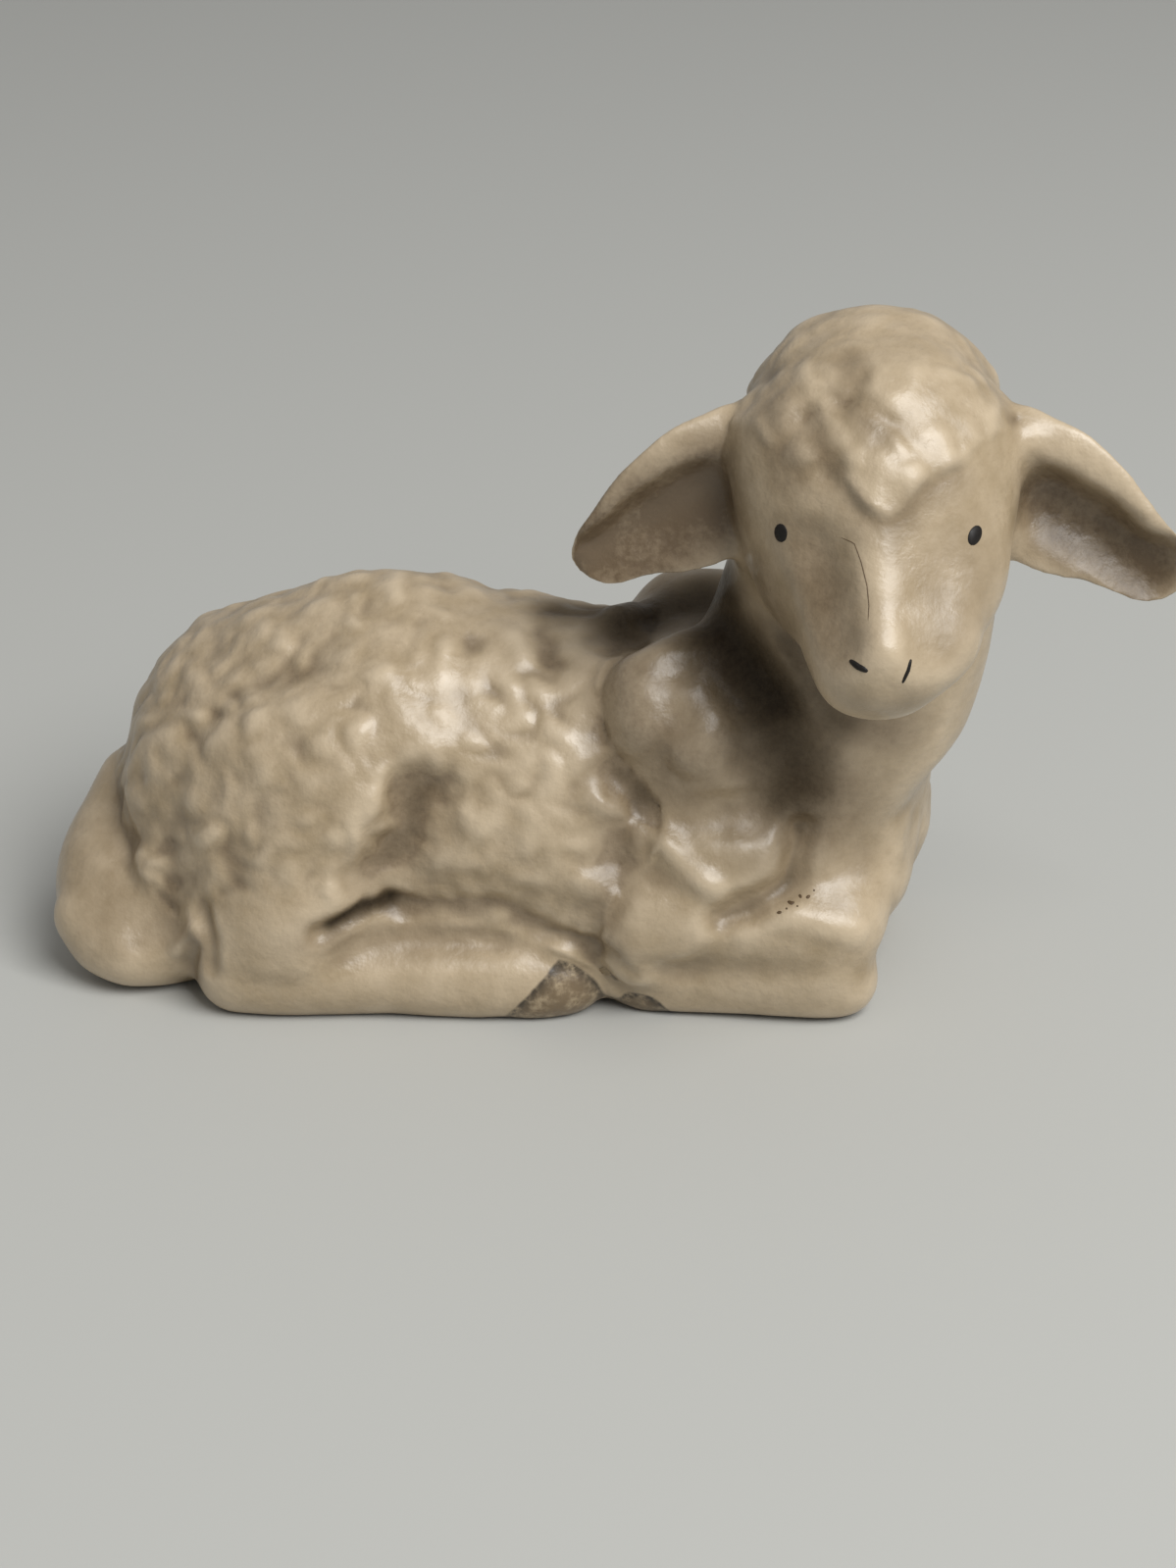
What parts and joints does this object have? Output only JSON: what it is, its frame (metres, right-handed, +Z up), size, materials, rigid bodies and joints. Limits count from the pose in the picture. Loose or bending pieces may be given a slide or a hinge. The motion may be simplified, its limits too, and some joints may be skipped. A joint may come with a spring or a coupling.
{
  "type": "lamb figurine",
  "caption": "Small glazed earthenware lamb lying with folded legs, its head turned aside, with a woolly coat, cupped ears and a flat underside to stand on.",
  "frame": {"origin": "on the flat underside, under the middle of the body", "axes": "+Z up, +X along the body towards the chest, +Y to the lamb's left"},
  "size_m": [0.0765, 0.0362, 0.049],
  "materials": {
    "cream_glaze": "satin cream glaze with a brown wash in the hollows",
    "dark_glaze": "brushed dark brown glaze",
    "black_glaze": "brushed black glaze"
  },
  "bodies": {
    "root": {"coat": "cream_glaze", "forequarters": "cream_glaze", "head": "cream_glaze", "left_ear": "cream_glaze", "left_eye": "black_glaze", "left_fore_hoof": "dark_glaze", "left_foreleg": "cream_glaze", "left_hind_hoof": "dark_glaze", "left_hind_leg": "cream_glaze", "left_nostril": "black_glaze", "neck": "cream_glaze", "right_ear": "cream_glaze", "right_eye": "black_glaze", "right_fore_hoof": "dark_glaze", "right_foreleg": "cream_glaze", "right_hind_hoof": "dark_glaze", "right_hind_leg": "cream_glaze", "right_nostril": "black_glaze", "tail": "cream_glaze"}
  },
  "joints": []
}
